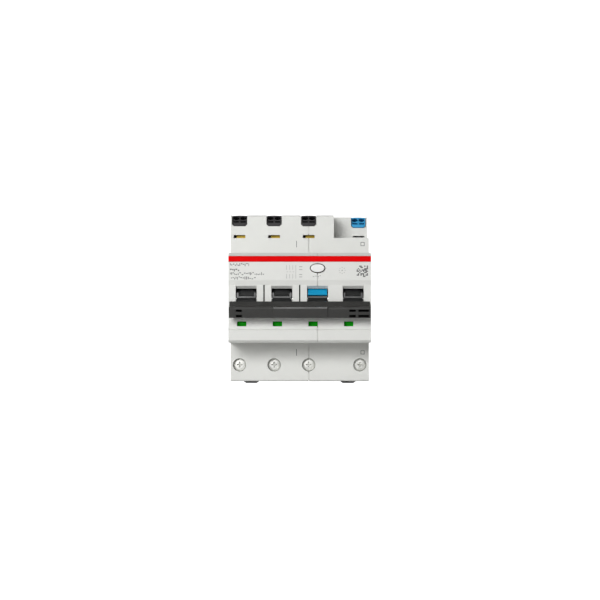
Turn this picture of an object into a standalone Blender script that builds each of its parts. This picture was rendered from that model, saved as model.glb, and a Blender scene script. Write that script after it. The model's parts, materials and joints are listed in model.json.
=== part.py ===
"""Residual current device with overcurrent protection, four 17.5 mm modules wide.

Frame: X to the right across the modules, Y from the front into the wall, Z up. The origin is the
centre of the face that rests on the 35 mm mounting rail. Sizes below are in millimetres and are
turned into metres when a mesh is made. Side outlines are lists of (y, z) points.
"""
import math

import bmesh
import bpy
from mathutils import Matrix, Vector

MM = 0.001
GAP = 0.3                # left between pieces that touch

# ---- driving dimensions ------------------------------------------------------------------------
MODULE = 17.5
HALF_WIDTH = 2 * MODULE
HALF_HEIGHT = 42.0       # shoulder height above and below the rail's centre line
WALL = 1.5
SHOULDER_Y = -44.0       # front face of the terminal blocks
NOSE_Y = -63.5           # front face of the nose
BACK_Y = 5.5             # back of the rail hook
SHOULDER_WALL_Y = -38.0  # inner face of the thick lower shoulder
SEAM_SHOULDER_X = 4.6    # the two halves meet here at the terminal blocks
SEAM_NOSE_X = 8.75       # and here at the nose
SEAM_STEP_HIGH = 22.6    # heights at which the seam changes from one to the other
SEAM_STEP_LOW = -22.3

POLE_X = [MODULE * (i - 1.5) for i in range(4)]
TERMINAL_SHIFT = 4.2     # terminals stand this far outwards of their pole's centre
POLE_NAMES = ["L1", "L2", "L3", "N"]
POLE_SIDE = [1, 1, 1, -1]  # +1: the terminal is left of the pole's centre, -1: right of it
PHASES = range(3)
NEUTRAL = 3

# ---- nose --------------------------------------------------------------------------------------
NOSE_TOP = 22.3
NOSE_BOTTOM = -21.8
WINDOW_PLANE_Y = -63.0   # the nose is a little lower around the handle
WINDOW_TOP = 4.7
LINTEL_TOP = 6.1         # a slope leads down into each window from here
LINTEL_BACK_Y = -61.1
WINDOW_BOTTOM = -7.6
WINDOW_HALF = 5.15
TOGGLE_GAP = 0.45        # on each side of a toggle in its window
STRIPE_TOP = 20.7
STRIPE_BOTTOM = 17.8
STRIPE_DEPTH = 0.9
BUTTON_Z = 14.7
BUTTON_HALF = 3.4        # half width of the oval test button
BUTTON_TALL = 2.0        # half height
BUTTON_GAP = 0.42
BUTTON_FRONT = -64.9

# ---- handle ------------------------------------------------------------------------------------
AXIS_Y = -57.0
AXIS_Z = -0.5
DRUM_R = 5.3
AXLE_R = 1.3

# ---- position flags ----------------------------------------------------------------------------
FLAG_AXIS_Y = -56.4
FLAG_AXIS_Z = -12.8
FLAG_R = 4.2

# ---- terminals ---------------------------------------------------------------------------------
INSERT_HALF = 3.6
INSERT_TOP = 42.1
INSERT_BOTTOM = 36.7
INSERT_CORNER = 1.0      # the lower corners are cut off at 45 degrees
WIRE_HOLE_X = 1.72       # the two holes stand this far from the insert's centre
WIRE_HOLE_R = 1.5
POCKET_DEPTH = 8.5
COLLAR_TOP = 42.5        # low arch on the housing behind each insert
COLLAR_HALF = 3.3
NOTCH_LEFT = 17.3
NOTCH_FLOOR = 30.5
NOTCH_Y = -29.0
SCREW_Z = -33.75
WELL_R = 3.35
SCREW_HEAD_R = 3.15
SCREW_HEAD_FRONT = -41.4
SCREW_HEAD_BACK = -39.4
SHANK_R = 1.75           # M3.5 thread

# ---- contacts ----------------------------------------------------------------------------------
SHAFT_Y = -31.0
SHAFT_Z = 1.0
SHAFT_R = 2.4

# ---- rail clips --------------------------------------------------------------------------------
CLIP_HALF = 6.0
CLIP_FLANGE = 1.0
CLIP_TOP = -16.5
CLIP_TIP = -46.0


def terminal_x(pole):
    return POLE_X[pole] - POLE_SIDE[pole] * TERMINAL_SHIFT


def across(pole, near, far):
    """X range measured from the terminal's centre towards the middle of its pole."""
    ends = [terminal_x(pole) + POLE_SIDE[pole] * d for d in (near, far)]
    return min(ends), max(ends)


# ---- materials ---------------------------------------------------------------------------------
def material(name, colour, roughness=0.5, metallic=0.0):
    found = bpy.data.materials.get(name)
    if found:
        return found
    made = bpy.data.materials.new(name)
    made.use_nodes = True
    shader = made.node_tree.nodes["Principled BSDF"]
    shader.inputs["Base Color"].default_value = (*colour, 1.0)
    shader.inputs["Roughness"].default_value = roughness
    shader.inputs["Metallic"].default_value = metallic
    made.diffuse_color = (*colour, 1.0)
    return made


LOOKS = {
    "housing": ((0.74, 0.74, 0.71), 0.45, 0.0),
    "stripe_red": ((0.83, 0.01, 0.01), 0.4, 0.0),
    "insert_black": ((0.015, 0.015, 0.017), 0.4, 0.0),
    "insert_blue": ((0.03, 0.26, 0.62), 0.4, 0.0),
    "brass": ((0.72, 0.53, 0.16), 0.35, 1.0),
    "copper": ((0.76, 0.4, 0.26), 0.35, 1.0),
    "steel": ((0.6, 0.6, 0.58), 0.35, 1.0),
    "handle": ((0.045, 0.045, 0.043), 0.5, 0.0),
    "toggle": ((0.03, 0.032, 0.033), 0.45, 0.0),
    "flag_blue": ((0.01, 0.25, 0.5), 0.4, 0.0),
    "flag_green": ((0.004, 0.23, 0.006), 0.5, 0.0),
    "button": ((0.8, 0.8, 0.78), 0.4, 0.0),
    "clip": ((0.05, 0.05, 0.05), 0.5, 0.0),
    "insulator": ((0.35, 0.33, 0.3), 0.6, 0.0),
    "relay": ((0.12, 0.12, 0.13), 0.5, 0.0),
}


# ---- mesh helpers ------------------------------------------------------------------------------
def finish(name, bm, look, pivot=(0.0, 0.0, 0.0)):
    """Makes the object from a mesh in millimetres, with its origin at the pivot."""
    bmesh.ops.recalc_face_normals(bm, faces=bm.faces)
    bmesh.ops.scale(bm, vec=(MM, MM, MM), verts=bm.verts)
    origin = Vector(pivot) * MM
    bmesh.ops.translate(bm, vec=-origin, verts=bm.verts)
    mesh = bpy.data.meshes.new(name)
    bm.to_mesh(mesh)
    bm.free()
    mesh.shade_smooth()
    mesh.set_sharp_from_angle(angle=math.radians(35))
    obj = bpy.data.objects.new(name, mesh)
    obj.location = origin
    if look:
        obj.data.materials.append(material(look, *LOOKS[look]))
    bpy.context.scene.collection.objects.link(obj)
    return obj


def add_prism(bm, outline, axis, low, high):
    """Extrudes a flat outline along X, Y or Z. The outline holds the other two coordinates in order."""
    def place(a, b, along):
        return {"X": (along, a, b), "Y": (a, along, b), "Z": (a, b, along)}[axis]

    bottom = [bm.verts.new(place(a, b, low)) for a, b in outline]
    face = bm.faces.new(bottom)
    grown = bmesh.ops.extrude_face_region(bm, geom=[face])
    moved = [v for v in grown["geom"] if isinstance(v, bmesh.types.BMVert)]
    step = Vector(place(0, 0, high - low))
    bmesh.ops.translate(bm, vec=step, verts=moved)


def prism(name, outline, axis, low, high, look=None, pivot=(0.0, 0.0, 0.0)):
    bm = bmesh.new()
    add_prism(bm, outline, axis, low, high)
    return finish(name, bm, look, pivot)


def box(name, xs, ys, zs, look=None, pivot=(0.0, 0.0, 0.0)):
    corners = [(ys[0], zs[0]), (ys[1], zs[0]), (ys[1], zs[1]), (ys[0], zs[1])]
    return prism(name, corners, "X", xs[0], xs[1], look, pivot)


def circle(a, b, radius, steps=24, squash=1.0):
    turns = [2 * math.pi * i / steps for i in range(steps)]
    return [(a + radius * math.cos(t), b + squash * radius * math.sin(t)) for t in turns]


def cylinder(name, centre, radius, axis, low, high, look=None, steps=24, pivot=(0.0, 0.0, 0.0)):
    return prism(name, circle(*centre, radius, steps), axis, low, high, look, pivot)


def turned(name, profile, centre, axis, look=None, steps=24, pivot=(0.0, 0.0, 0.0)):
    """A round piece. The profile is (radius, distance along the axis) from end to end."""
    bm = bmesh.new()
    rings = []
    for radius, along in profile:
        ring = []
        for a, b in circle(*centre, radius, steps):
            ring.append(bm.verts.new({"X": (along, a, b), "Y": (a, along, b)}[axis]))
        rings.append(ring)
    for inner, outer in zip(rings, rings[1:]):
        for i in range(steps):
            j = (i + 1) % steps
            bm.faces.new((inner[i], inner[j], outer[j], outer[i]))
    bm.faces.new(rings[0])
    bm.faces.new(rings[-1])
    return finish(name, bm, look, pivot)


def strip(path, thickness):
    """Outline of a bent strip of even thickness whose middle follows the path."""
    points = [Vector(p) for p in path]
    left, right = [], []
    for i, point in enumerate(points):
        before = (point - points[i - 1]).normalized() if i else None
        after = (points[i + 1] - point).normalized() if i + 1 < len(points) else None
        before = before or after
        after = after or before
        normal_before = Vector((-before.y, before.x))
        normal_after = Vector((-after.y, after.x))
        mitre = (normal_before + normal_after).normalized()
        reach = thickness / 2 / mitre.dot(normal_before)
        left.append(tuple(point + mitre * reach))
        right.append(tuple(point - mitre * reach))
    return left + right[::-1]


def boolean(target, other, operation):
    other.hide_render = True
    other.display_type = "WIRE"
    change = target.modifiers.new(other.name, "BOOLEAN")
    change.operation = operation
    change.solver = "EXACT"
    change.object = other


def cut(target, cutter):
    boolean(target, cutter, "DIFFERENCE")


def join(target, other):
    boolean(target, other, "UNION")


# ---- housing -----------------------------------------------------------------------------------
def housing_outline():
    """Side view of the housing, from the top of the nose back over the top and round underneath."""
    upper = [
        (NOSE_Y, STRIPE_TOP), (NOSE_Y + 1.9, NOSE_TOP), (SHOULDER_Y, 22.9),
        (SHOULDER_Y, HALF_HEIGHT - 0.6), (SHOULDER_Y + 0.6, HALF_HEIGHT), (-9.0, HALF_HEIGHT),
        (BACK_Y, 30.0),
    ]
    rail_side = [
        (BACK_Y, 16.5), (1.6, 16.5), (1.6, 17.9), (-0.3, 17.9), (-0.3, 16.2),
        (0.0, 16.2), (0.0, -16.2),
        (-0.3, -16.2), (-0.3, -20.0), (BACK_Y, -20.0), (BACK_Y, -34.0),
    ]
    lower = [
        (-3.0, -HALF_HEIGHT), (SHOULDER_Y + 0.6, -HALF_HEIGHT), (SHOULDER_Y, 0.6 - HALF_HEIGHT),
        (SHOULDER_Y, -22.6), (NOSE_Y + 1.2, NOSE_BOTTOM), (NOSE_Y, NOSE_BOTTOM + 1.2),
    ]
    front = [
        (NOSE_Y, -15.7), (NOSE_Y + 0.4, -15.4), (NOSE_Y, -15.1),
        (WINDOW_PLANE_Y, -9.8), (WINDOW_PLANE_Y, 6.5), (NOSE_Y, 8.8),
    ]
    return upper + rail_side + lower + front


def cavity_outline(front_y, block_y):
    """Side view of the hollow. front_y is the upper shoulder's inner face, block_y the insert block's."""
    return [
        (-61.0, 19.0), (-59.6, 20.6), (SHOULDER_Y + WALL, 21.2), (front_y, 21.2),
        (front_y, 34.8), (block_y, 34.8), (block_y, 40.5), (-10.0, 40.5),
        (-1.8, 33.5), (-1.8, -34.0), (-5.0, -40.5), (SHOULDER_WALL_Y, -40.5),
        (SHOULDER_WALL_Y, -21.0), (-60.0, -20.3), (-61.0, -19.3),
    ]


def insert_front(x, clearance, top):
    """Front view of a terminal insert, or of its pocket when a clearance is given."""
    half, bottom, corner = INSERT_HALF + clearance, INSERT_BOTTOM - clearance, INSERT_CORNER
    return [(x - half, top), (x - half, bottom + corner), (x - half + corner, bottom),
            (x + half - corner, bottom), (x + half, bottom + corner), (x + half, top)]


def collars(low, high):
    """Low arches on top of the housing, close behind the pockets, for the half between two X limits."""
    made = []
    for pole, name in enumerate(POLE_NAMES):
        x = terminal_x(pole)
        if x + COLLAR_HALF < low or x - COLLAR_HALF > high:
            continue
        outline = [(x - COLLAR_HALF, HALF_HEIGHT - WALL / 2), (x + COLLAR_HALF, HALF_HEIGHT - WALL / 2)]
        for degrees in range(0, 181, 30):
            angle = math.radians(degrees)
            outline.append((x + COLLAR_HALF * math.cos(angle),
                            HALF_HEIGHT + (COLLAR_TOP - HALF_HEIGHT) * math.sin(angle)))
        outline = [(min(max(across_x, low), high), z) for across_x, z in outline]
        pocket_back = (NOTCH_Y if pole == NEUTRAL else SHOULDER_Y) + POCKET_DEPTH
        made.append(prism(f"collar_{name}_{low:.0f}", outline, "Y", pocket_back + 0.1, pocket_back + 1.3))
    return made


def terminal_cutters():
    """Cutters for everything that opens the housing at the terminals, shared by both halves."""
    cutters = []
    for pole, name in enumerate(POLE_NAMES):
        x = terminal_x(pole)
        face = NOTCH_Y if pole == NEUTRAL else SHOULDER_Y
        pocket = insert_front(x, GAP, HALF_HEIGHT + 1)
        cutters.append(prism(f"pocket_cutter_{name}", pocket, "Y", face - 1, face + POCKET_DEPTH))
        cutters.append(box(f"spout_cutter_{name}", (x - 2.9, x + 2.9), (face + 3.0, face + 7.4),
                           (34.0, INSERT_BOTTOM)))
        slot_zs = (31.5, 32.3) if pole == NEUTRAL else (30.4, 32.0)
        cutters.append(box(f"slot_cutter_{name}", (x - 3.0, x + 3.0), (face - 1, face + 2.0), slot_zs))
        cutters.append(cylinder(f"well_cutter_{name}", (x, SCREW_Z), WELL_R, "Y", SHOULDER_Y - 1,
                                SCREW_HEAD_BACK + GAP, steps=32))
        cutters.append(cylinder(f"shank_cutter_{name}", (x, SCREW_Z), SHANK_R + GAP, "Y",
                                SCREW_HEAD_BACK, SHOULDER_WALL_Y + 1))
        cutters.append(box(f"entry_cutter_{name}", across(pole, -1.7, 4.3), (-28.7, -21.9),
                           (-HALF_HEIGHT - 1, -39.0)))
    return cutters


def oval(half_wide, half_tall):
    return circle(POLE_X[2], BUTTON_Z, half_wide, 40, half_tall / half_wide)


def nose_cutters():
    """Cutters for the stripe, the windows, the button and the gaps between modules."""
    cutters = [
        box("stripe_cutter", (-HALF_WIDTH - 1, HALF_WIDTH + 1), (NOSE_Y - 1, NOSE_Y + STRIPE_DEPTH),
            (STRIPE_BOTTOM, STRIPE_TOP)),
        prism("button_cutter", oval(BUTTON_HALF + BUTTON_GAP, BUTTON_TALL + BUTTON_GAP), "Y", NOSE_Y - 1,
              -60.0),
    ]
    for pole, x in enumerate(POLE_X):
        cutters.append(box(f"window_cutter_{pole}", (x - WINDOW_HALF, x + WINDOW_HALF),
                           (NOSE_Y - 1, -60.0), (WINDOW_BOTTOM, WINDOW_TOP)))
        lintel = [(NOSE_Y - 1, LINTEL_TOP), (WINDOW_PLANE_Y, LINTEL_TOP), (LINTEL_BACK_Y, WINDOW_TOP),
                  (LINTEL_BACK_Y, 0.0), (NOSE_Y - 1, 0.0)]
        cutters.append(prism(f"lintel_cutter_{pole}", lintel, "X", x - WINDOW_HALF, x + WINDOW_HALF))
        cutters.append(box(f"flag_cutter_{pole}", (x - 4.5, x + 0.1), (NOSE_Y - 1, -60.0),
                           (-13.8, -11.4)))
    for edge in (-MODULE, 0.0):
        cutters.append(box(f"module_gap_cutter_{edge:.0f}", (edge - 0.33, edge + 0.33),
                           (NOSE_Y - 1, -60.0), (-5.0, 6.6)))
    return cutters


def clip_channel_cutters():
    cutters = []
    for side in (-1, 1):
        x = side * POLE_X[3]
        half = CLIP_HALF + GAP
        cutters.append(box(f"channel_cutter_{side}", (x - half, x + half), (1.3, BACK_Y + 1),
                           (-44.0, -19.0)))
        wide = half + CLIP_FLANGE
        cutters.append(box(f"flange_cutter_{side}", (x - wide, x + wide), (2.4, 4.2), (-44.0, -19.0)))
    return cutters


RIVETS = [(-7.0, 34.0), (-9.0, -36.0), (-50.0, 16.5)]     # (y, z) of each, all along X
RIVET_BORE_R = 1.5
RIVET_SEAT_R = 2.8


def rivet_cutters():
    cutters = []
    for i, place in enumerate(RIVETS):
        cutters.append(cylinder(f"rivet_bore_{i}", place, RIVET_BORE_R, "X", -HALF_WIDTH - 1,
                                HALF_WIDTH + 1, steps=16))
        for side in (-1, 1):
            ends = sorted((side * (HALF_WIDTH + 1), side * (HALF_WIDTH - 0.8)))
            cutters.append(cylinder(f"rivet_seat_{i}_{side}", place, RIVET_SEAT_R, "X", *ends, steps=16))
    return cutters


def build_housing():
    outer = housing_outline()
    left = prism("housing_left", outer, "X", -HALF_WIDTH, SEAM_NOSE_X - GAP / 2, "housing")
    right = prism("housing_right", outer, "X", SEAM_SHOULDER_X + GAP / 2, HALF_WIDTH, "housing")

    for name, zs in (("upper", (SEAM_STEP_HIGH, HALF_HEIGHT + 1)),
                     ("lower", (-HALF_HEIGHT - 1, SEAM_STEP_LOW))):
        cut(left, box(f"left_step_{name}", (SEAM_SHOULDER_X - GAP / 2, SEAM_NOSE_X + 1),
                      (-70, BACK_Y + 1), zs))
    cut(right, box("right_step", (SEAM_SHOULDER_X - 1, SEAM_NOSE_X + GAP / 2), (-70, BACK_Y + 1),
                   (SEAM_STEP_LOW - GAP, SEAM_STEP_HIGH + GAP)))
    cut(right, box("notch_cutter", (NOTCH_LEFT, HALF_WIDTH + 1), (SHOULDER_Y - 1, NOTCH_Y),
                   (NOTCH_FLOOR, HALF_HEIGHT + 1)))

    inner_x = HALF_WIDTH - WALL
    plain = cavity_outline(SHOULDER_Y + WALL, SHOULDER_Y + POCKET_DEPTH + WALL)
    cut(left, prism("cavity_left", plain, "X", -inner_x, SEAM_NOSE_X + 1))
    cut(right, prism("cavity_right", plain, "X", SEAM_SHOULDER_X - 1, NOTCH_LEFT - WALL))
    behind_notch = cavity_outline(SHOULDER_Y + WALL, NOTCH_Y + POCKET_DEPTH + WALL)
    behind_notch[4:6] = [
        (SHOULDER_Y + WALL, NOTCH_FLOOR - WALL), (NOTCH_Y + WALL, NOTCH_FLOOR - WALL),
        (NOTCH_Y + WALL, 34.8), (NOTCH_Y + POCKET_DEPTH + WALL, 34.8),
    ]
    cut(right, prism("cavity_neutral", behind_notch, "X", NOTCH_LEFT - WALL - 0.5, inner_x))

    for half, low, high in ((left, -HALF_WIDTH, SEAM_SHOULDER_X - GAP / 2),
                            (right, SEAM_SHOULDER_X + GAP / 2, HALF_WIDTH)):
        for collar in collars(low, high):
            join(half, collar)
    for cutter in terminal_cutters() + nose_cutters() + clip_channel_cutters() + rivet_cutters():
        low = min(v.co.x for v in cutter.data.vertices) / MM
        high = max(v.co.x for v in cutter.data.vertices) / MM
        if low < SEAM_NOSE_X:
            cut(left, cutter)
        if high > SEAM_SHOULDER_X:
            cut(right, cutter)
    for half, side in ((left, -1), (right, 1)):
        ends = sorted((side * (inner_x - 1), side * (inner_x + 0.8)))
        cut(half, cylinder(f"axle_socket_{side}", (AXIS_Y, AXIS_Z), AXLE_R + GAP, "X", *ends, steps=16))


def build_partitions():
    """Walls between the poles, inside the terminal and contact space only."""
    outline = [
        (-42.2, 20.9), (-42.2, 34.5), (-33.7, 34.5), (-33.7, 40.2), (-10.1, 40.2), (-2.1, 33.3),
        (-2.1, -33.8), (-5.2, -40.2), (-37.7, -40.2), (-37.7, 20.9),
    ]
    for i, x in enumerate((-MODULE, 0.0)):
        wall = prism(f"partition_{i + 1}", outline, "X", x - 0.5, x + 0.5, "insulator")
        cut(wall, cylinder(f"shaft_hole_{i}", (SHAFT_Y, SHAFT_Z), SHAFT_R + 1.0, "X", x - 2, x + 2, steps=16))
        for j, place in enumerate(RIVETS[:2]):
            cut(wall, cylinder(f"partition_rivet_hole_{i}_{j}", place, RIVET_BORE_R, "X", x - 2, x + 2,
                               steps=16))


def build_stripe():
    box("red_stripe", (-HALF_WIDTH, HALF_WIDTH), (NOSE_Y, NOSE_Y + STRIPE_DEPTH - GAP),
        (STRIPE_BOTTOM + 0.1, STRIPE_TOP - 0.1), "stripe_red")


def build_rivets():
    for i, place in enumerate(RIVETS):
        head, shank = 2.5, 1.2
        end, seat = HALF_WIDTH - 0.1, HALF_WIDTH - 0.5
        profile = [(head, -end), (head, -seat), (shank, -seat), (shank, seat), (head, seat), (head, end)]
        turned(f"rivet_{i + 1}", profile, place, "X", "steel", 16)


# ---- handle ------------------------------------------------------------------------------------
def around_axis(radius, degrees):
    """Point at this height above the horizontal, in front of the handle's axis."""
    angle = math.radians(degrees)
    return (AXIS_Y - radius * math.cos(angle), AXIS_Z + radius * math.sin(angle))


def toggle_outline(pocket):
    """Drum round the axis with a lever pointing down and forward; the pocket holds the blue flag."""
    lever_low, lever_high, lever_r = -50, -12, 8.2
    points = [around_axis(DRUM_R, degrees) for degrees in (lever_high + 6, lever_high + 18)]
    if pocket:
        pocket_r, pocket_low, pocket_high = 4.2, 15, 95
        points += [around_axis(DRUM_R, pocket_low), around_axis(pocket_r, pocket_low)]
        points += [around_axis(pocket_r, d) for d in range(pocket_low + 15, pocket_high, 15)]
        points.append(around_axis(pocket_r, pocket_high))
        drum_start = pocket_high + 7
    else:
        post_top, drum_start = (-61.9, 2.7), 54
        points.append(post_top)
    points += [around_axis(DRUM_R, d) for d in range(drum_start, 360 + lever_low - 6, 12)]
    return points + [around_axis(DRUM_R, lever_low - 2), around_axis(lever_r + 0.4, lever_low),
                     around_axis(lever_r, lever_high)]


def panel_cutter(pole):
    """Sunk panel between two posts on the toggle's upper front, above a narrow sill."""
    floor_half, spread = 3.2, 0.2
    floor_y, floor_z = -59.0, 4.6
    outline = [(-64.0, 0.2), (-61.3, 1.2), (floor_y, floor_z), (-64.0, floor_z)]
    bm = bmesh.new()
    add_prism(bm, outline, "X", -1.0, 1.0)
    for vert in bm.verts:
        vert.co.x = POLE_X[pole] + vert.co.x * (floor_half + spread * (floor_y - vert.co.y))
    return finish(f"toggle_panel_{pole}", bm, None)


def build_handle():
    axis = (0.0, AXIS_Y, AXIS_Z)
    half = WINDOW_HALF - TOGGLE_GAP
    for pole, x in enumerate(POLE_X):
        blue = pole == 2
        toggle = prism(f"toggle_{POLE_NAMES[pole]}", toggle_outline(blue), "X", x - half, x + half,
                       "toggle", axis)
        cut(toggle, cylinder(f"toggle_bore_{pole}", (AXIS_Y, AXIS_Z), AXLE_R + GAP, "X",
                             x - half - 1, x + half + 1, steps=16))
        chin = [(-64.0, 0.2), (-62.2, 0.2), (-61.7, -1.4), (-64.0, -1.4)]
        cut(toggle, prism(f"toggle_chin_{pole}", chin, "X", x - half - 1, x + half + 1))
        if not blue:
            cut(toggle, panel_cutter(pole))
        else:
            arc = range(21, 76, 9)
            outline = [around_axis(5.9, d) for d in arc] + [around_axis(4.5, d) for d in reversed(arc)]
            prism("residual_trip_flag", outline, "X", x - half, x + half, "flag_blue", axis)
    end = HALF_WIDTH - WALL + 0.6
    cylinder("handle_axle", (AXIS_Y, AXIS_Z), AXLE_R, "X", -end, end, "steel", 16)
    build_tie_bar(axis)


def build_tie_bar(axis):
    """Bar across all four toggles, with a finger ledge on top and a raised grip in the middle."""
    half = HALF_WIDTH - 0.7
    plain, grip = (-71.5, -72.0), (-72.2, -72.4)     # Y of the ledge and of the crest
    grip_left, grip_right, run_out = -12.8, 13.4, 0.4
    stations = [(-half, plain), (grip_left - run_out, plain), (grip_left, grip), (grip_right, grip),
                (grip_right + run_out, plain), (half, plain)]
    bm = bmesh.new()
    rings = []
    for x, (ledge_y, crest_y) in stations:
        section = [
            (-65.9, -1.5), (-67.4, -3.9), (ledge_y, -4.2), (crest_y, -5.2), (crest_y + 1.2, -9.6),
            (-66.6, -9.6),
        ]
        rings.append([bm.verts.new((x, y, z)) for y, z in section])
    for here, there in zip(rings, rings[1:]):
        for i in range(len(here)):
            j = (i + 1) % len(here)
            bm.faces.new((here[i], here[j], there[j], there[i]))
    bm.faces.new(rings[0])
    bm.faces.new(rings[-1])
    bar = finish("tie_bar", bm, "handle", axis)
    slots = {"left": (-30.9, -28.0), "right": (24.0, 27.2), "end": (28.4, 33.6)}
    slot_floor, half_tall = -68.4, 0.55
    for name, xs in slots.items():
        for z in (-6.1, -8.7):
            cut(bar, box(f"bar_slot_{name}_{z}", xs, (-73.0, slot_floor), (z - half_tall, z + half_tall)))


def sector(centre, radius, low, high, steps):
    """Points on an arc in front of a centre, by their angle above the horizontal."""
    points = []
    for i in range(steps + 1):
        angle = math.radians(low + (high - low) * i / steps)
        points.append((centre[0] - radius * math.cos(angle), centre[1] + radius * math.sin(angle)))
    return points


def build_flags():
    """Position flags on one rocking shaft; the lower half of each shows when the contacts close."""
    shaft = (FLAG_AXIS_Y, FLAG_AXIS_Z)
    axis = (0.0, *shaft)
    rocker = cylinder("position_flag_rocker", shaft, 1.3, "X", -33.2, 33.2, "flag_green", 16, axis)
    outline = [(FLAG_AXIS_Y + 1.0, FLAG_AXIS_Z)] + sector(shaft, FLAG_R, -78, 27, 8)
    for pole, x in enumerate(POLE_X):
        join(rocker, prism(f"flag_sector_{pole}", outline, "X", x - 5.0, x + 0.6))


def build_test_button():
    x = POLE_X[2]
    cap = prism("test_button", oval(BUTTON_HALF, BUTTON_TALL), "Y", BUTTON_FRONT, -60.4, "button",
                (x, BUTTON_FRONT, BUTTON_Z))
    join(cap, cylinder("button_stem", (x, BUTTON_Z), 1.4, "Y", -61.0, -58.0, steps=16))
    blade = strip([(-56.2, 13.2), (-56.2, 11.0), (-48.0, 11.0)], 0.4)
    blade_top = strip([(-56.2, 15.6), (-56.2, 13.2)], 0.4)
    outline = blade_top[:1] + blade + blade_top[-1:]
    prism("test_contact_blade", outline, "X", x - 1.8, x + 1.8, "brass")


# ---- terminals ---------------------------------------------------------------------------------
def build_insert(pole):
    """Push-in terminal insert: two round wire holes above two release openings and a lip."""
    name = POLE_NAMES[pole]
    x = terminal_x(pole)
    face = NOTCH_Y if pole == NEUTRAL else SHOULDER_Y
    lip, brow, back = (0.9, 38.0), (2.4, 39.4), POCKET_DEPTH - GAP
    outline = [
        (face + 0.3, INSERT_BOTTOM), (face + lip[0], lip[1]), (face + brow[0], brow[1]),
        (face + 5.8, INSERT_TOP), (face + back, INSERT_TOP), (face + back, INSERT_BOTTOM),
    ]
    look = "insert_blue" if pole == NEUTRAL else "insert_black"
    insert = prism(f"terminal_insert_{name}", outline, "X", x - INSERT_HALF, x + INSERT_HALF, look)
    front = prism(f"insert_front_{name}", insert_front(x, 0.0, INSERT_TOP + 1), "Y", face - 1, face + 10)
    boolean(insert, front, "INTERSECT")
    lean = math.radians(20)
    for side in (-1, 1):
        place = Vector((x + side * WIRE_HOLE_X, face + 4.1, 40.6)) * MM
        hole = cylinder(f"wire_hole_{name}_{side}", (0, 0), WIRE_HOLE_R, "Z", -5.0, 3.0, steps=20)
        hole.matrix_world = Matrix.Translation(place) @ Matrix.Rotation(lean, 4, "X")
        cut(insert, hole)
        release = box(f"release_{name}_{side}", (-1.35, 1.35), (-1.0, 1.2), (-0.42, 0.42))
        place = Vector((x + side * WIRE_HOLE_X, face + 1.4, 38.75)) * MM
        release.matrix_world = Matrix.Translation(place) @ Matrix.Rotation(-lean, 4, "X")
        cut(insert, release)


def build_clamp_spring(pole):
    """Folded spring: its free leg slants down towards the current bar and presses the wire on it."""
    face = NOTCH_Y if pole == NEUTRAL else SHOULDER_Y
    path = [(face + 9.0, 27.5), (face + 9.0, 32.8), (face + 8.0, 33.8), (face + 4.3, 29.0)]
    prism(f"clamp_spring_{POLE_NAMES[pole]}", strip(path, 0.4), "X", *across(pole, -1.4, 3.2), "steel")


def build_upper_bar(pole):
    face = NOTCH_Y if pole == NEUTRAL else SHOULDER_Y
    front, back = face + 2.9, -21.5
    top = 30.9 if pole == NEUTRAL else 34.0      # the neutral bar ends below its slot
    shelf, contact = 24.4, 11.0
    path = [(front, top), (front, shelf), (back, shelf), (back, contact)]
    prism(f"upper_bar_{POLE_NAMES[pole]}", strip(path, 1.0), "X", *across(pole, -1.6, 3.4), "brass")


def build_screw_terminal(pole):
    name = POLE_NAMES[pole]
    x = terminal_x(pole)
    axis = (x, 0.0, SCREW_Z)
    profile = [
        (SCREW_HEAD_R - 0.3, SCREW_HEAD_FRONT), (SCREW_HEAD_R, SCREW_HEAD_FRONT + 0.3),
        (SCREW_HEAD_R, SCREW_HEAD_BACK), (SHANK_R, SCREW_HEAD_BACK), (SHANK_R, -31.0), (1.2, -30.4),
    ]
    screw = turned(f"terminal_screw_{name}", profile, (x, SCREW_Z), "Y", "steel", 24, axis)
    for i, (wide, tall) in enumerate(((1.8, 0.45), (0.45, 1.8))):
        cut(screw, box(f"screw_cross_{name}_{i}", (x - wide, x + wide), (SCREW_HEAD_FRONT - 1, -40.3),
                       (SCREW_Z - tall, SCREW_Z + tall)))

    low, high = across(pole, -2.8, 5.3)
    front, back, end_wall, side_wall = -32.3, -20.6, 1.2, 0.7
    cage = box(f"clamp_cage_{name}", (low, high), (front, back), (-38.3, -29.3), "steel")
    cut(cage, box(f"cage_mouth_{name}", (low + side_wall, high - side_wall),
                  (front + end_wall, back - end_wall), (-40, -28)))
    cut(cage, cylinder(f"cage_thread_{name}", (x, SCREW_Z), SHANK_R + GAP, "Y", front - 1,
                       front + end_wall + 0.5, steps=16))
    path = [(-29.4, -38.0), (-29.4, -24.4), (-21.2, -24.4)]
    prism(f"lower_bar_{name}", strip(path, 1.2), "X", *across(pole, -1.1, 3.7), "copper")


# ---- contacts and releases ---------------------------------------------------------------------
def build_contacts():
    axis = (0.0, SHAFT_Y, SHAFT_Z)
    cylinder("contact_shaft", (SHAFT_Y, SHAFT_Z), SHAFT_R, "X", -33.2, 33.2, "insulator", 16, axis)
    for pole, name in enumerate(POLE_NAMES):
        low, high = across(pole, -0.6, 2.4)
        hub = circle(SHAFT_Y, SHAFT_Z, SHAFT_R + 1.6, 16)
        arm = prism(f"contact_arm_{name}", hub, "X", low, high, "copper", axis)
        blade = [
            (SHAFT_Y - 0.9, SHAFT_Z + 3.0), (SHAFT_Y + 0.9, SHAFT_Z + 3.0), (SHAFT_Y + 0.9, 12.5),
            (SHAFT_Y + 1.8, 12.8), (SHAFT_Y + 1.8, 15.2), (SHAFT_Y - 0.9, 15.4),
        ]
        join(arm, prism(f"arm_blade_{name}", blade, "X", low + 0.1, high - 0.1))
        cut(arm, cylinder(f"arm_bore_{name}", (SHAFT_Y, SHAFT_Z), SHAFT_R + GAP, "X", low - 1, high + 1,
                          steps=16))


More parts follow.
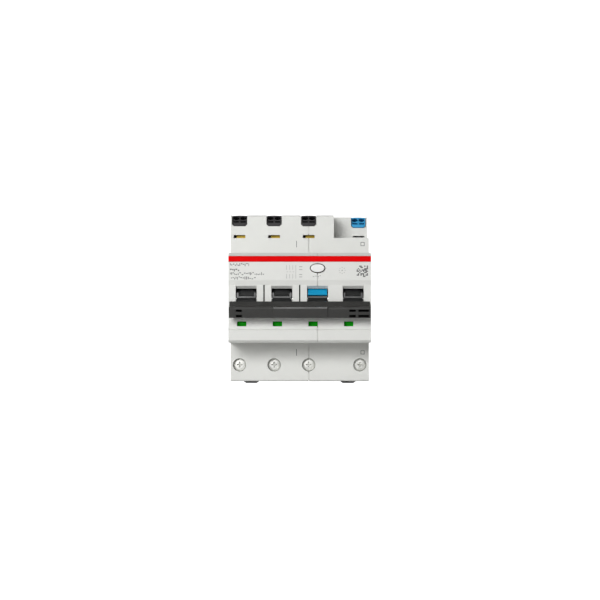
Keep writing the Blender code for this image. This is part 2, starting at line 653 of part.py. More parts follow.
def build_coil(pole):
    """Magnetic trip coil: a wire wound round an axis that runs front to back."""
    turns, steps, sides = 5, 10, 5
    radius, wire = 2.9, 0.62
    start, pitch = -39.6, 2.2
    centre_x, centre_z = POLE_X[pole], 19.2
    bm = bmesh.new()
    rings = []
    for i in range(turns * steps + 1):
        angle = 2 * math.pi * i / steps
        outward = Vector((math.cos(angle), 0.0, math.sin(angle)))
        middle = Vector((centre_x, start + pitch * i / steps, centre_z)) + radius * outward
        ring = []
        for k in range(sides):
            tilt = 2 * math.pi * k / sides
            offset = wire * (math.cos(tilt) * outward + math.sin(tilt) * Vector((0, 1, 0)))
            ring.append(bm.verts.new(middle + offset))
        rings.append(ring)
    for here, there in zip(rings, rings[1:]):
        for k in range(sides):
            n = (k + 1) % sides
            bm.faces.new((here[k], here[n], there[n], there[k]))
    bm.faces.new(rings[0])
    bm.faces.new(rings[-1])
    finish(f"trip_coil_{POLE_NAMES[pole]}", bm, "copper")


def build_arc_chute(pole):
    """Stack of quenching plates on one back wall, seen from the side as a comb."""
    plates, pitch, thick = 8, 2.6, 0.9
    back, spine, tip, bottom = -4.0, -5.2, -18.5, -14.0
    outline = []
    for i in range(plates):
        z = bottom + i * pitch
        outline += [(spine, z), (tip, z), (tip, z + thick), (spine, z + thick)]
    outline[0] = (back, bottom)
    outline[-1] = (back, bottom + (plates - 1) * pitch + thick)
    x = POLE_X[pole]
    prism(f"arc_chute_{POLE_NAMES[pole]}", outline, "X", x - 5.0, x + 5.0, "steel")


def build_bimetal(pole):
    low, high = across(pole, 0.6, 3.6)
    box(f"bimetal_{POLE_NAMES[pole]}", (low, high), (-20.9, -20.1), (-26.0, -6.0), "steel")


def build_residual_parts():
    centre, outer, bore = (-12.0, -24.5), 7.4, 4.2
    core = cylinder("summation_core", centre, outer, "X", 14.6, 21.6, "relay", 32)
    cut(core, cylinder("core_bore", centre, bore, "X", 13.0, 23.0, steps=32))
    box("trip_relay", (15.0, 24.0), (-16.0, -4.0), (12.0, 23.0), "relay")


# ---- rail clips --------------------------------------------------------------------------------
def build_rail_clips():
    for side, name in ((-1, "left"), (1, "right")):
        x = side * POLE_X[3]
        wide, narrow = CLIP_HALF + CLIP_FLANGE, CLIP_HALF
        section = [
            (x - narrow, 1.9), (x + narrow, 1.9), (x + narrow, 2.7), (x + wide, 2.7), (x + wide, 3.9),
            (x + narrow, 3.9), (x + narrow, 5.2), (x - narrow, 5.2), (x - narrow, 3.9),
            (x - wide, 3.9), (x - wide, 2.7), (x - narrow, 2.7),
        ]
        clip = prism(f"rail_clip_{name}", section, "Z", -38.0, CLIP_TOP, "clip")
        root, low, tip = (4.5, -36.0), (4.3, CLIP_TIP + 1.0), (2.9, CLIP_TIP)
        left_edge = [(x - half, z) for half, z in (root, low, tip)]
        right_edge = [(x + half, z) for half, z in (tip, low, root)]
        tail = left_edge + right_edge
        join(clip, prism(f"clip_tail_{name}", tail, "Y", 2.1, 5.0))


def main():
    for old in list(bpy.data.objects):
        bpy.data.objects.remove(old, do_unlink=True)
    build_housing()
    build_partitions()
    build_stripe()
    build_rivets()
    build_handle()
    build_flags()
    build_test_button()
    for pole in range(4):
        build_insert(pole)
        build_clamp_spring(pole)
        build_upper_bar(pole)
        build_screw_terminal(pole)
    build_contacts()
    for pole in PHASES:
        build_coil(pole)
        build_arc_chute(pole)
        build_bimetal(pole)
    build_residual_parts()
    build_rail_clips()


main()
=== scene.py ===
"""Looks for the four-module residual current device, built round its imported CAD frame.

Lengths are in metres, and MM turns millimetres into them. X runs to the right, Y from the front into the
wall, Z up.
"""
import json
import math
import random

import bmesh
import bpy
from mathutils import Matrix, Vector


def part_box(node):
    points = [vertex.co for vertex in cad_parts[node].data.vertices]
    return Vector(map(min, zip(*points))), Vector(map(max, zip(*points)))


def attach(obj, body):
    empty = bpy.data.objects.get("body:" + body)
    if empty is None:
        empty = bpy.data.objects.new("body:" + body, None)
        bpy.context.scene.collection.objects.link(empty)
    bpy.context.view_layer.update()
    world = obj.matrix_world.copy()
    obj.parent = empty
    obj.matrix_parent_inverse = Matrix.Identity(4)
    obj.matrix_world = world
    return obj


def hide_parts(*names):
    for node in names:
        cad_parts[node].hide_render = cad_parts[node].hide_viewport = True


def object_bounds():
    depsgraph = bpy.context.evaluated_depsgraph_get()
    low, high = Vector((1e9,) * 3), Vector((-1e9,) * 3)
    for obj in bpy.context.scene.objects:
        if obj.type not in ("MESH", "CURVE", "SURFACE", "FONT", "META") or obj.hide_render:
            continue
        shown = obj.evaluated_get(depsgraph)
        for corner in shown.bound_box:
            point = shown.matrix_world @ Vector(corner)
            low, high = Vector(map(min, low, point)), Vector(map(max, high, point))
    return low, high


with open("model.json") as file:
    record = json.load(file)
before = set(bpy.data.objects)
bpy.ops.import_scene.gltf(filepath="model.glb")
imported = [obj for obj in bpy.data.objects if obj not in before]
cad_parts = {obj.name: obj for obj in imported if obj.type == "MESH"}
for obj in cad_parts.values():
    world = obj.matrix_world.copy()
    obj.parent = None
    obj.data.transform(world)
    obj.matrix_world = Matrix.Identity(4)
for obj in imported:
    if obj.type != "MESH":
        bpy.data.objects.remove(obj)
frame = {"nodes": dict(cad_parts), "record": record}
cad_low, cad_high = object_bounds()

MM = 0.001
POLES = ("L1", "L2", "L3", "N")

# ---- places taken from the frame, and where the housing's two halves meet ----------------------
left_low, left_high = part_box("housing_left")
right_low, right_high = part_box("housing_right")
NOSE_Y = left_low.y
MODULE = right_high.x / 2
SHOULDER_Y = -44 * MM      # front face of the terminal blocks
JOINT_GAP = 0.3 * MM       # between the halves
JOINT_DEPTH = 0.55 * MM    # from the surface to the plate that closes the gap
STEP_HIGH = 22.6 * MM      # the joint between the halves steps sideways at these two heights
STEP_LOW = -22.3 * MM

# ---- softened edges: radii in millimetres, turns in degrees ------------------------------------
EDGE_RADII = {"housing": 0.15, "tie_bar": 0.15, "toggle": 0.1, "terminal_insert": 0.12, "rail_clip": 0.3,
              "test_button": 0.25}
OTHER_EDGE_RADIUS = 0.08
LEAST_TURN = 32            # an edge that turns less than this stays as it is
LEAST_TURN_ON_HANDLE = 20

# ---- wire holes of a terminal insert -----------------------------------------------------------
HOLE_LEAN = math.radians(20)             # the holes lean back by this from upright
FACE_SLOPE = math.atan2(2.7, 3.4)        # the sloping face rises by 2.7 mm over a depth of 3.4 mm
HOLE_SIDE = 1.72 * MM                    # the middle of a hole's mouth, from the insert's middle,
HOLE_BEHIND = 3.8 * MM                   # from its front face
HOLE_BELOW = 1.38 * MM                   # and from its top
HOLE_RADIUS = 1.45 * MM
HOLE_DEPTH = 3.6 * MM
RELEASE_SHIFT = Vector((0, -2.35 * MM, -2.05 * MM))    # from a hole's mouth to its release opening
RELEASE_WIDE = 2.6 * MM
RELEASE_TALL = 0.78 * MM

# ---- grooves on the tie bar, in millimetres ----------------------------------------------------
GROOVE_ENDS = ((-30.85, -28.05), (24.05, 27.15), (28.45, 33.55))
GROOVE_ROWS = ((-6.1, 1.1), (-8.7, 1.8))     # height, and how far the strip lies behind the bar's front
GROOVE_HALF_TALL = 0.5

# ---- light -------------------------------------------------------------------------------------
SKY = 0.05
FLOOR_GLOW = 0.02
SWEEP_GLOW = 1.0
KEY_PLACE = (-0.42, -1.02, 0.36)
KEY_SIZE = 0.55
KEY_WATTS = 8.4
TOP_PLACE = (-0.05, -0.95, 0.42)
TOP_SIZE = 0.25
TOP_WATTS = 1.6
BACK_REACH = 0.9           # each light behind is this far to its side, back and up
BACK_SIZE = 0.6
BACK_WATTS = 3.5


# ---- materials ---------------------------------------------------------------------------------
def new_material(name):
    made = bpy.data.materials.new(name)
    made.use_nodes = True
    return made, made.node_tree.nodes, made.node_tree.links, made.node_tree.nodes["Principled BSDF"]


def noise(nodes, links, coordinates, scale, detail=4.0, stretch=(1, 1, 1)):
    """A noise texture in the object's own metres."""
    placed = nodes.new("ShaderNodeMapping")
    placed.inputs["Scale"].default_value = stretch
    links.new(coordinates.outputs["Object"], placed.inputs["Vector"])
    texture = nodes.new("ShaderNodeTexNoise")
    texture.inputs["Scale"].default_value = scale
    texture.inputs["Detail"].default_value = detail
    links.new(placed.outputs["Vector"], texture.inputs["Vector"])
    return texture.outputs["Fac"]


def ramp(nodes, links, value, low, high, start=0.35, end=0.65):
    """Maps a value between two colours."""
    made = nodes.new("ShaderNodeValToRGB")
    made.color_ramp.elements[0].position = start
    made.color_ramp.elements[1].position = end
    made.color_ramp.elements[0].color = (*low, 1)
    made.color_ramp.elements[1].color = (*high, 1)
    links.new(value, made.inputs["Fac"])
    return made.outputs["Color"]


def bump_from(nodes, links, height, strength, distance):
    """Raises the surface by a noise and returns the bent normal."""
    bump = nodes.new("ShaderNodeBump")
    bump.inputs["Strength"].default_value = strength
    bump.inputs["Distance"].default_value = distance
    links.new(height, bump.inputs["Height"])
    return bump.outputs["Normal"]


def grey(value):
    return (value, value, value)


def shade(colour, amount):
    return tuple(min(1.0, channel * amount) for channel in colour)


def plastic(name, colour, roughness=0.42, grain=0.35, mottle=0.03, gloss=0.5):
    """Moulded plastic: fine spark-eroded grain, faint cloudiness and uneven gloss."""
    made, nodes, links, shader = new_material(name)
    where = nodes.new("ShaderNodeTexCoord")
    cloud_scale, patch_scale, grain_scale = 90.0, 260.0, 5200.0
    cloud = noise(nodes, links, where, cloud_scale)
    tint = ramp(nodes, links, cloud, shade(colour, 1 - mottle), shade(colour, 1 + mottle))
    links.new(tint, shader.inputs["Base Color"])
    patches = noise(nodes, links, where, patch_scale, 6.0)
    polish = ramp(nodes, links, patches, grey(roughness - 0.06), grey(roughness + 0.08))
    links.new(polish, shader.inputs["Roughness"])
    fine = noise(nodes, links, where, grain_scale, 2.0)
    links.new(bump_from(nodes, links, fine, grain, 0.03 * MM), shader.inputs["Normal"])
    shader.inputs["Specular IOR Level"].default_value = gloss
    return made


def metal(name, colour, roughness=0.32, brushed=(1, 1, 14)):
    """Plated or plain sheet metal with drawn streaks and dull patches."""
    made, nodes, links, shader = new_material(name)
    where = nodes.new("ShaderNodeTexCoord")
    patch_scale, streak_scale = 320.0, 700.0
    patches = noise(nodes, links, where, patch_scale, 5.0)
    tint = ramp(nodes, links, patches, shade(colour, 0.86), shade(colour, 1.08))
    links.new(tint, shader.inputs["Base Color"])
    streaks = noise(nodes, links, where, streak_scale, 5.0, brushed)
    polish = ramp(nodes, links, streaks, grey(roughness - 0.1), grey(roughness + 0.12))
    links.new(polish, shader.inputs["Roughness"])
    links.new(bump_from(nodes, links, streaks, 0.25, 0.02 * MM), shader.inputs["Normal"])
    shader.inputs["Metallic"].default_value = 1.0
    return made


LOOKS = {
    "housing": plastic("housing_plastic", (0.74, 0.745, 0.715), grain=0.3, mottle=0.012),
    "stripe_red": plastic("stripe_plastic", (0.76, 0.0015, 0.003), 0.4, grain=0.2, mottle=0.02, gloss=0.03),
    "insert_black": plastic("insert_black_plastic", (0.05, 0.048, 0.05), 0.36),
    "insert_blue": plastic("insert_blue_plastic", (0.05, 0.36, 0.68), 0.4, gloss=0.4),
    "handle": plastic("handle_plastic", (0.03, 0.03, 0.028), grain=0.5, mottle=0.05, gloss=0.65),
    "toggle": plastic("toggle_plastic", (0.004, 0.005, 0.005), mottle=0.05, gloss=0.9),
    "flag_blue": plastic("flag_blue_plastic", (0.008, 0.3, 0.55), 0.4, grain=0.2, gloss=0.15),
    "flag_green": plastic("flag_green_plastic", (0.002, 0.47, 0.003), 0.5, grain=0.2, gloss=0.1),
    "button": plastic("button_plastic", (0.84, 0.84, 0.82), 0.34, grain=0.2, mottle=0.01),
    "clip": plastic("clip_plastic", (0.05, 0.05, 0.052), 0.45, grain=0.5),
    "insulator": plastic("insulator_plastic", (0.3, 0.28, 0.25), 0.6, grain=0.6, mottle=0.06),
    "relay": plastic("relay_plastic", (0.08, 0.08, 0.085), 0.5, grain=0.5, mottle=0.05),
    "brass": metal("brass_sheet", (0.36, 0.25, 0.04), 0.4),
    "copper": metal("copper_sheet", (0.8, 0.43, 0.28), 0.34),
    "steel": metal("zinc_plated_steel", (0.66, 0.66, 0.64), 0.3),
}
INK = plastic("printing_ink", (0.17, 0.17, 0.17), 0.6, grain=0.1, mottle=0.1, gloss=0.2)
FAINT_INK = plastic("thin_printing_ink", (0.36, 0.36, 0.35), 0.6, grain=0.1, mottle=0.1, gloss=0.2)
# painted shade: near-black colours for pieces that stand in for the shade deep in holes, gaps and grooves
PAINTED_SHADE_BLACK = plastic("painted_shade_black", (0.001, 0.001, 0.001), 0.7, grain=0.1, mottle=0.1, gloss=0.0)
PAINTED_SHADE_BLUE = plastic("painted_shade_blue", (0.0, 0.03, 0.11), 0.7, grain=0.1, mottle=0.1, gloss=0.05)
SCREW_METAL = metal("screw_steel", (0.82, 0.82, 0.79), 0.5, brushed=(1, 1, 1))


# ---- CAD nodes ---------------------------------------------------------------------------------
def edge_radius(name):
    """Radius of a node's softened edges, by the start of its name."""
    for start, radius in EDGE_RADII.items():
        if name.startswith(start):
            return radius * MM
    return OTHER_EDGE_RADIUS * MM


def soften(obj, radius, least_turn=LEAST_TURN):
    """Joins the flat faces and rounds the edges between them that turn by at least a number of degrees."""
    weld = obj.modifiers.new("weld", "WELD")
    weld.merge_threshold = 0.002 * MM
    flat = obj.modifiers.new("flat", "DECIMATE")
    flat.decimate_type = "DISSOLVE"
    flat.angle_limit = math.radians(0.5)
    bevel = obj.modifiers.new("bevel", "BEVEL")
    bevel.width = radius
    bevel.segments = 3
    bevel.limit_method = "ANGLE"
    bevel.angle_limit = math.radians(least_turn)
    bevel.harden_normals = True


def dress_nodes():
    """Gives each CAD node its material and softens its edges."""
    slots = {part["node"]: part["material_slot"] for part in frame["record"]["subparts"]}
    for name, node in frame["nodes"].items():
        node.data.materials.clear()
        node.data.materials.append(LOOKS[slots[name]])
        on_handle = name.startswith(("tie_bar", "toggle"))
        soften(node, edge_radius(name), LEAST_TURN_ON_HANDLE if on_handle else LEAST_TURN)


# ---- making pieces -----------------------------------------------------------------------------
def mesh_object(name, bm, look, body="housing"):
    """Makes an object that rides on one body of the record."""
    mesh = bpy.data.meshes.new(name)
    bmesh.ops.recalc_face_normals(bm, faces=bm.faces)
    bm.to_mesh(mesh)
    bm.free()
    obj = bpy.data.objects.new(name, mesh)
    bpy.context.scene.collection.objects.link(obj)
    obj.data.materials.append(look)
    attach(obj, body)
    return obj


def add_box(bm, xs, ys, zs):
    """A box between limits; returns its vertices."""
    made = bmesh.ops.create_cube(bm, size=1.0)
    limits = (xs, ys, zs)
    bmesh.ops.scale(bm, vec=[high - low for low, high in limits], verts=made["verts"])
    bmesh.ops.translate(bm, vec=[(low + high) / 2 for low, high in limits], verts=made["verts"])
    return made["verts"]


def bridge(bm, loop, other):
    """Quads between two loops of the same length."""
    count = len(loop)
    for i in range(count):
        bm.faces.new((loop[i], loop[(i + 1) % count], other[(i + 1) % count], other[i]))


# ---- joint between the halves ------------------------------------------------------------------
def section(mesh, x, low_z, high_z):
    """Flat cut through a closed mesh at one X, kept between two heights."""
    bm = bmesh.new()
    bm.from_mesh(mesh)
    bmesh.ops.bisect_plane(bm, geom=bm.verts[:] + bm.edges[:] + bm.faces[:], plane_co=(x, 0, 0),
                           plane_no=(1, 0, 0), clear_inner=True, clear_outer=True)
    bmesh.ops.remove_doubles(bm, verts=bm.verts[:], dist=0.001 * MM)
    bmesh.ops.triangle_fill(bm, use_beauty=True, use_dissolve=False, edges=bm.edges[:])
    for z, up in ((low_z, -1), (high_z, 1)):
        bmesh.ops.bisect_plane(bm, geom=bm.verts[:] + bm.edges[:] + bm.faces[:], plane_co=(0, 0, z),
                               plane_no=(0, 0, up), clear_outer=True)
    return bm


def close_joint(name, x, low_z, high_z):
    """Thin plate of the housing's own section, set back from the surface, in the gap between the halves."""
    just_inside = x - 0.01 * MM
    bm = section(frame["nodes"]["housing_left"].data, just_inside, low_z, high_z)
    inset = bmesh.ops.inset_region(bm, faces=bm.faces[:], use_boundary=True, use_even_offset=True,
                                   thickness=JOINT_DEPTH)
    bmesh.ops.delete(bm, geom=inset["faces"], context="FACES")
    grown = bmesh.ops.extrude_face_region(bm, geom=bm.faces[:])
    moved = [v for v in grown["geom"] if isinstance(v, bmesh.types.BMVert)]
    bmesh.ops.translate(bm, vec=(JOINT_GAP, 0, 0), verts=moved)
    return mesh_object(name, bm, LOOKS["housing"])


def close_joints():
    """One plate at the nose, one at each terminal block, and a strip at each sideways step."""
    nose_x = left_high.x
    shoulder_x = right_low.x - JOINT_GAP
    step_back_y = SHOULDER_Y + 1.4 * MM
    close_joint("joint_nose", nose_x, STEP_LOW, STEP_HIGH)
    close_joint("joint_upper", shoulder_x, STEP_HIGH + JOINT_GAP, cad_high.z)
    close_joint("joint_lower", shoulder_x, cad_low.z, STEP_LOW - JOINT_GAP)
    for name, low_z in (("upper", STEP_HIGH), ("lower", STEP_LOW - JOINT_GAP)):
        bm = bmesh.new()
        add_box(bm, (shoulder_x, nose_x), (SHOULDER_Y + JOINT_DEPTH, step_back_y), (low_z, low_z + JOINT_GAP))
        mesh_object(f"joint_step_{name}", bm, LOOKS["housing"])


# ---- painted shade: near-black pieces where holes, gaps and grooves are in shade ---------------
def paint_shade_in_hole(bm, centre):
    """Painted shade: near-black cup in a leaning wire hole; its mouth follows the sloping face, its end is
    flat.
    """
    along = Vector((0, -math.sin(HOLE_LEAN), math.cos(HOLE_LEAN)))
    across = Vector((0, math.cos(HOLE_LEAN), math.sin(HOLE_LEAN)))
    outward = Vector((0, -math.sin(FACE_SLOPE), math.cos(FACE_SLOPE)))
    steps, below_face = 24, 0.12 * MM
    mouth, end = [], []
    for i in range(steps):
        turn = 2 * math.pi * i / steps
        spoke = HOLE_RADIUS * (math.cos(turn) * Vector((1, 0, 0)) + math.sin(turn) * across)
        rise = -(spoke.dot(outward) + below_face) / along.dot(outward)
        mouth.append(bm.verts.new(centre + spoke + rise * along))
        end.append(bm.verts.new(centre + spoke - HOLE_DEPTH * along))
    bridge(bm, mouth, end)
    bm.faces.new(end)


def paint_shade_over_release(bm, centre):
    """Painted shade: thin near-black plate across a release opening, leaning like the opening."""
    wide, thick, tall = RELEASE_WIDE, 0.05 * MM, RELEASE_TALL
    plate = add_box(bm, (-wide / 2, wide / 2), (-thick / 2, thick / 2), (-tall / 2, tall / 2))
    bmesh.ops.rotate(bm, cent=(0, 0, 0), matrix=Matrix.Rotation(-HOLE_LEAN, 3, "X"), verts=plate)
    bmesh.ops.translate(bm, vec=centre, verts=plate)


def paint_shade_in_wire_holes(pole):
    """Painted shade: near-black pieces in the wire holes and release openings of one insert."""
    low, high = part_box(f"terminal_insert_{pole}")
    middle = (low.x + high.x) / 2
    bm = bmesh.new()
    for side in (-1, 1):
        centre = Vector((middle + side * HOLE_SIDE, low.y + HOLE_BEHIND, high.z - HOLE_BELOW))
        paint_shade_in_hole(bm, centre)
        paint_shade_over_release(bm, centre + RELEASE_SHIFT)
    mesh_object(f"wire_hole_painted_shade_{pole}", bm, PAINTED_SHADE_BLUE if pole == "N" else PAINTED_SHADE_BLACK, "housing")


def paint_shade_in_module_gaps():
    """Painted shade: near-black strips a little way down the two upright gaps between neighbouring modules.
    """
    half_wide, front, back = 0.31 * MM, NOSE_Y + 0.9 * MM, NOSE_Y + 1.1 * MM
    low_z, high_z = -4.9 * MM, 6.5 * MM
    bm = bmesh.new()
    for x in (-MODULE, 0.0):
        add_box(bm, (x - half_wide, x + half_wide), (front, back), (low_z, high_z))
    mesh_object("module_gap_painted_shade", bm, PAINTED_SHADE_BLACK)


def paint_shade_in_bar_grooves():
    """Painted shade: near-black strips set back in the three pairs of grooves on the tie bar's front."""
    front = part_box("tie_bar")[0].y
    thick = 0.2 * MM
    bm = bmesh.new()
    for start, end in GROOVE_ENDS:
        for height, depth in GROOVE_ROWS:
            y = front + depth * MM
            zs = ((height - GROOVE_HALF_TALL) * MM, (height + GROOVE_HALF_TALL) * MM)
            add_box(bm, (start * MM, end * MM), (y, y + thick), zs)
    mesh_object("bar_groove_painted_shade", bm, PAINTED_SHADE_BLACK, "handle")


# ---- terminal screws ---------------------------------------------------------------------------
def ring(bm, centre, radius, y, steps=48):
    """A loop of vertices round an axis along Y."""
    loop = []
    for i in range(steps):
        turn = 2 * math.pi * i / steps
        loop.append(bm.verts.new((centre.x + radius * math.cos(turn), y, centre.z + radius * math.sin(turn))))
    return loop


def cross(bm, centre, reach, half_wide, y):
    """A loop of vertices round an upright cross."""
    corner = ((half_wide, half_wide), (half_wide, reach), (-half_wide, reach))
    points = []
    for quarter in range(4):
        turn = Matrix.Rotation(quarter * math.pi / 2, 2)
        points += [turn @ Vector(point) for point in corner]
    return [bm.verts.new((centre.x + p.x, y, centre.z + p.y)) for p in points]


def loop_edges(bm, loop):
    """The edges round a loop of vertices, made where they are missing."""
    ends = zip(loop, loop[1:] + loop[:1])
    return [bm.edges.get(pair) or bm.edges.new(pair) for pair in ends]


def build_screw(pole):
    """Domed head with a tapering cross recess, and the shank behind it."""
    low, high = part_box(f"terminal_screw_{pole}")
    centre = (low + high) / 2
    head_r, shank_r, tip_r = (high.x - low.x) / 2, 1.75 * MM, 1.25 * MM
    front, tip = low.y, high.y
    head_back, recess_floor = front + 2.0 * MM, front + 1.5 * MM
    bm = bmesh.new()
    mouth = cross(bm, centre, reach=1.4 * MM, half_wide=0.32 * MM, y=front)
    floor = cross(bm, centre, reach=0.8 * MM, half_wide=0.2 * MM, y=recess_floor)
    bridge(bm, mouth, floor)
    bmesh.ops.triangle_fill(bm, use_beauty=True, edges=loop_edges(bm, floor))
    crown = ring(bm, centre, radius=2.1 * MM, y=front + 0.03 * MM)
    shoulder = ring(bm, centre, radius=2.8 * MM, y=front + 0.12 * MM)
    bmesh.ops.triangle_fill(bm, use_beauty=True, edges=loop_edges(bm, mouth) + loop_edges(bm, crown))
    profile = ((head_r, front + 0.3 * MM), (head_r, head_back), (shank_r, head_back),
               (shank_r, tip - 0.6 * MM), (tip_r, tip))
    rings = [crown, shoulder] + [ring(bm, centre, radius, y) for radius, y in profile]
    for loop, other in zip(rings, rings[1:]):
        bridge(bm, loop, other)
    bm.faces.new(rings[-1])
    screw = mesh_object(f"screw_{pole}", bm, SCREW_METAL, f"screw_{pole}")
    screw.data.shade_smooth()
    screw.data.set_sharp_from_angle(angle=math.radians(40))
    soften(screw, 0.05 * MM)
    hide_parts(f"terminal_screw_{pole}")


# ---- printed marks, in millimetres -------------------------------------------------------------
def add_mark(bm, x, z, wide, tall, y):
    """One flat printed rectangle on a face that looks towards the front."""
    thick = 0.02 * MM
    add_box(bm, ((x - wide / 2) * MM, (x + wide / 2) * MM), (y - thick, y),
            ((z - tall / 2) * MM, (z + tall / 2) * MM))


def print_row(bm, rng, z, start, end, tall):
    """A row of upright ticks and short bars that stands for a line of print; none of them is a letter."""
    widest_tick = 0.5      # a mark wider than this is a flat bar
    x = start
    while x < end:
        wide = rng.uniform(0.25, 0.85)
        share = rng.choice((0.55, 0.8, 1.0)) if wide < widest_tick else 0.3
        high = tall * share
        shift = rng.uniform(-0.5, 0.5) * (tall - high)
        add_mark(bm, x + wide / 2, z + shift, wide, high, NOSE_Y)
        gap = rng.uniform(0.2, 0.4)
        x += wide + gap


def print_code(bm, rng, left, bottom):
    """A block of small squares in no order, with about half of them filled."""
    cells, size, filled = 9, 0.62, 0.5
    for column in range(cells):
        for row in range(cells):
            if rng.random() < filled:
                add_mark(bm, left + size * column, bottom + size * row, size, size, NOSE_Y)


def print_circuit(bm, left, low, high):
    """Four upright strokes, three of them broken in the middle by a short cross stroke, and four dashes."""
    pitch, line, half_break = 1.5, 0.16, 1.0
    cross_shift, cross_wide = 0.3, 0.8
    dash_wide, dash_tall = 1.5, 0.3
    middle = (low + high) / 2
    break_top, break_bottom = middle + half_break, middle - half_break
    for i in range(3):
        x = left + pitch * i
        add_mark(bm, x, (high + break_top) / 2, line, high - break_top, NOSE_Y)
        add_mark(bm, x, (low + break_bottom) / 2, line, break_bottom - low, NOSE_Y)
        add_mark(bm, x + cross_shift, middle, cross_wide, line, NOSE_Y)
    add_mark(bm, left + pitch * 3, middle, line, high - low, NOSE_Y)
    for z in (high - 0.8, high - 2.2, low + 2.0, low + 0.8):
        add_mark(bm, left + pitch * 4.6, z, dash_wide, dash_tall, NOSE_Y)


def print_dots(bm, centre_x, centre_z):
    """A ring of dots round one in the middle."""
    count, radius, dot = 8, 1.45, 0.36
    middle_dot = dot * 1.6
    add_mark(bm, centre_x, centre_z, middle_dot, middle_dot, NOSE_Y)
    for i in range(count):
        angle = 2 * math.pi * i / count
        x = centre_x + radius * math.cos(angle)
        z = centre_z + radius * math.sin(angle)
        add_mark(bm, x, z, dot, dot, NOSE_Y)


def print_label():
    """Generic strokes and blocks where the real device has its rating plate."""
    rng = random.Random(4)
    button_x = MODULE / 2 / MM
    dark, faint = bmesh.new(), bmesh.new()
    print_row(dark, rng, z=16.4, start=-34.1, end=-24.6, tall=1.7)
    print_row(dark, rng, z=14.1, start=-34.1, end=-29.8, tall=2.1)
    print_row(dark, rng, z=12.0, start=-34.1, end=-17.8, tall=1.4)
    print_row(dark, rng, z=9.9, start=-33.6, end=-22.2, tall=1.5)
    print_code(dark, rng, left=28.2, bottom=10.7)
    print_circuit(faint, left=-6.4, low=9.6, high=16.2)
    print_dots(faint, centre_x=20.8, centre_z=13.6)
    print_row(faint, rng, z=10.7, start=button_x - 2.3, end=button_x + 1.7, tall=1.1)
    mesh_object("printed_label", dark, INK)
    mesh_object("printed_label_faint", faint, FAINT_INK)


def print_terminal_marks():
    """A stroke beside the phases and a small open square beside the neutral, above and below."""
    stroke_x, square_x, height = -1.6, 31.8, 27.4
    half_wide, half_tall, line = 0.85, 0.86, 0.28
    bm = bmesh.new()
    for z in (height, -height):
        add_mark(bm, stroke_x, z, 0.3, 3.3, SHOULDER_Y)
        for side in (-1, 1):
            add_mark(bm, square_x + side * half_wide, z, line, 2.0, SHOULDER_Y)
            add_mark(bm, square_x, z + side * half_tall, 2 * half_wide, line, SHOULDER_Y)
    mesh_object("printed_terminal_marks", bm, INK)


# ---- stage, light and camera -------------------------------------------------------------------
def stage_sheet(name, profile, half_width, glow, seen_by_camera):
    """A white sheet along a (y, z) profile, which glows. The camera sees it, or the light rays do."""
    bm = bmesh.new()
    columns = [[bm.verts.new((x, y, z)) for y, z in profile] for x in (-half_width, half_width)]
    for i in range(len(profile) - 1):
        bm.faces.new((columns[0][i], columns[1][i], columns[1][i + 1], columns[0][i + 1]))
    mesh = bpy.data.meshes.new(name)
    bm.to_mesh(mesh)
    bm.free()
    mesh.shade_smooth()
    sheet = bpy.data.objects.new(name, mesh)
    bpy.context.scene.collection.objects.link(sheet)
    paper, _, _, shader = new_material(name)
    shader.inputs["Base Color"].default_value = (0.7, 0.7, 0.7, 1)
    shader.inputs["Roughness"].default_value = 0.9
    shader.inputs["Emission Color"].default_value = (1, 1, 1, 1)
    shader.inputs["Emission Strength"].default_value = glow
    mesh.materials.append(paper)
    sheet.visible_camera = seen_by_camera
    sheet.visible_diffuse = not seen_by_camera
    sheet.visible_glossy = not seen_by_camera
    sheet.visible_shadow = not seen_by_camera


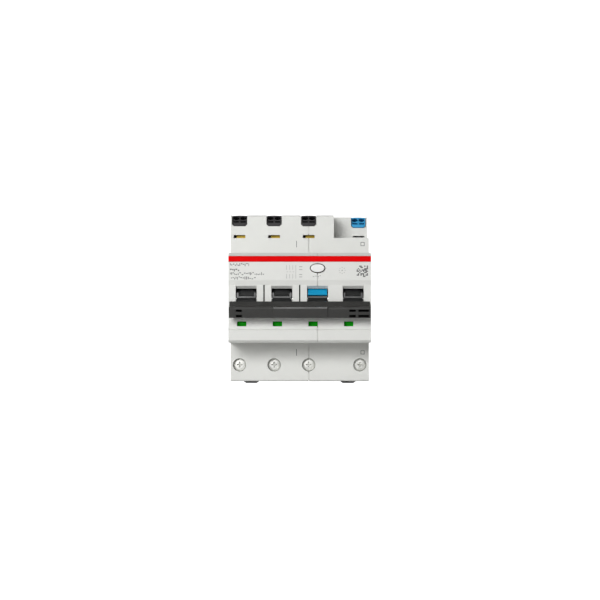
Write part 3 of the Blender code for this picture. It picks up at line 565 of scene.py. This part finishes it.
def build_stage():
    """A white floor that curves up into a backdrop, and under it the floor that bounces light back."""
    floor_z = cad_low.z - 2 * MM
    bounce_z = floor_z - 1 * MM
    front, bounce_back, half_width = -2.5, 2.5, 3.0
    reach, curve, height, steps = 0.55, 0.35, 1.6, 16
    profile = [(front, floor_z), (reach, floor_z)]
    for i in range(1, steps + 1):
        angle = math.pi / 2 * i / steps
        profile.append((reach + curve * math.sin(angle), floor_z + curve * (1 - math.cos(angle))))
    profile.append((reach + curve, floor_z + height))
    stage_sheet("stage_sweep", profile, half_width, SWEEP_GLOW, True)
    stage_sheet("stage_bounce", [(front, bounce_z), (bounce_back, bounce_z)], half_width, FLOOR_GLOW, False)


def add_area(name, place, size, watts):
    """A round area light that looks at the middle of the nose."""
    light = bpy.data.lights.new(name, "AREA")
    light.shape = "DISK"
    light.size = size
    light.energy = watts
    obj = bpy.data.objects.new(name, light)
    obj.location = place
    aim = Vector((0, NOSE_Y, 0)) - obj.location
    obj.rotation_euler = aim.to_track_quat("-Z", "Y").to_euler()
    obj.visible_camera = False
    bpy.context.scene.collection.objects.link(obj)


def build_lights():
    """A broad soft key above and left of the camera, a small one above it, and two weak ones behind."""
    world = bpy.data.worlds.new("studio")
    bpy.context.scene.world = world
    world.use_nodes = True
    world.node_tree.nodes["Background"].inputs["Color"].default_value = (1.0, 1.0, 1.0, 1)
    world.node_tree.nodes["Background"].inputs["Strength"].default_value = SKY
    add_area("key", KEY_PLACE, KEY_SIZE, KEY_WATTS)
    add_area("top", TOP_PLACE, TOP_SIZE, TOP_WATTS)
    for name, side in (("back_left", -1), ("back_right", 1)):
        add_area(name, (side * BACK_REACH, BACK_REACH, BACK_REACH), BACK_SIZE, BACK_WATTS)


def build_camera():
    """Straight on and level, from so near that the nose looks a little wider than the terminal blocks."""
    distance = 600 * MM
    view_width = 294 * MM      # how much the view takes in at the nose's front face
    right_of_middle, below_middle = 0.15 * MM, 0.9 * MM
    lens = bpy.data.cameras.new("camera")
    lens.sensor_width = 36.0
    lens.lens = lens.sensor_width * distance / view_width
    lens.clip_start = 0.01
    camera = bpy.data.objects.new("camera", lens)
    camera.location = (right_of_middle, NOSE_Y - distance, -below_middle)
    camera.rotation_euler = (math.pi / 2, 0, 0)
    bpy.context.scene.collection.objects.link(camera)
    bpy.context.scene.camera = camera


bpy.context.scene.view_settings.view_transform = "Standard"
build_camera()
build_lights()
build_stage()
dress_nodes()
close_joints()
paint_shade_in_module_gaps()
paint_shade_in_bar_grooves()
for pole in POLES:
    paint_shade_in_wire_holes(pole)
    build_screw(pole)
print_label()
print_terminal_marks()
